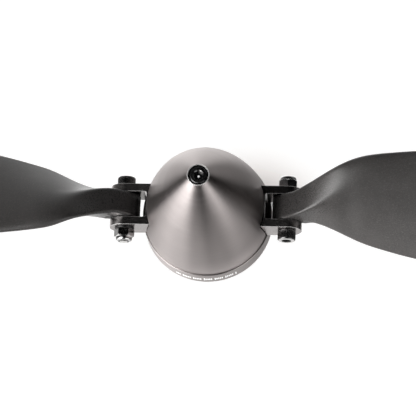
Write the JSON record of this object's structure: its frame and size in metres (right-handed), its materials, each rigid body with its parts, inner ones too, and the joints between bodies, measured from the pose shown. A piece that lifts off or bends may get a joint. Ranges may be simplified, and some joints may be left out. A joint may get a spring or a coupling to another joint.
{
  "type": "folding propeller",
  "caption": "Folding propeller: turned aluminium spinner, clamping yoke for a motor shaft, and black composite blades that fold back on screws.",
  "frame": {"origin": "centre of the backplate's rear face, on the shaft axis", "axes": "+Z along the shaft towards the nose, X along the open blades, Y along the blade pivots"},
  "size_m": [0.381, 0.04, 0.0458],
  "materials": {
    "cone_metal": "satin, turned, warm grey anodised",
    "yoke_metal": "satin, milled",
    "steel": "bright zinc plated",
    "black_steel": "black oxide, satin",
    "nut_steel": "zinc plated",
    "blade_plastic": "carbon fibre filled nylon, satin with fine speckle",
    "brass": "turned",
    "nylon": "translucent white nylon"
  },
  "bodies": {
    "hub": {"spinner_cone": "cone_metal", "backplate": "cone_metal", "yoke": "yoke_metal", "collet": "steel", "collet_nut": "steel", "clamp_washer": "steel", "nose_screw": "black_steel", "nose_washer": "steel", "pivot_screw_right": "black_steel", "pivot_screw_left": "black_steel", "lock_nut_right": "nut_steel", "lock_nut_left": "nut_steel", "nylon_ring_right": "nylon", "nylon_ring_left": "nylon", "pivot_washer_right": "black_steel", "pivot_washer_left": "black_steel"},
    "blade_right": {"blade_right": "blade_plastic", "blade_bush_right": "brass"},
    "blade_left": {"blade_left": "blade_plastic", "blade_bush_left": "brass"}
  },
  "joints": [
    {"name": "blade_right_fold", "type": "hinge", "parent": "hub", "child": "blade_right", "pos_m": [0.025, 0, 0.0114], "axis": [0, 1, 0], "range_deg": [-60, 95]},
    {"name": "blade_left_fold", "type": "hinge", "parent": "hub", "child": "blade_left", "pos_m": [-0.025, 0, 0.0114], "axis": [0, -1, 0], "range_deg": [-60, 95]}
  ]
}
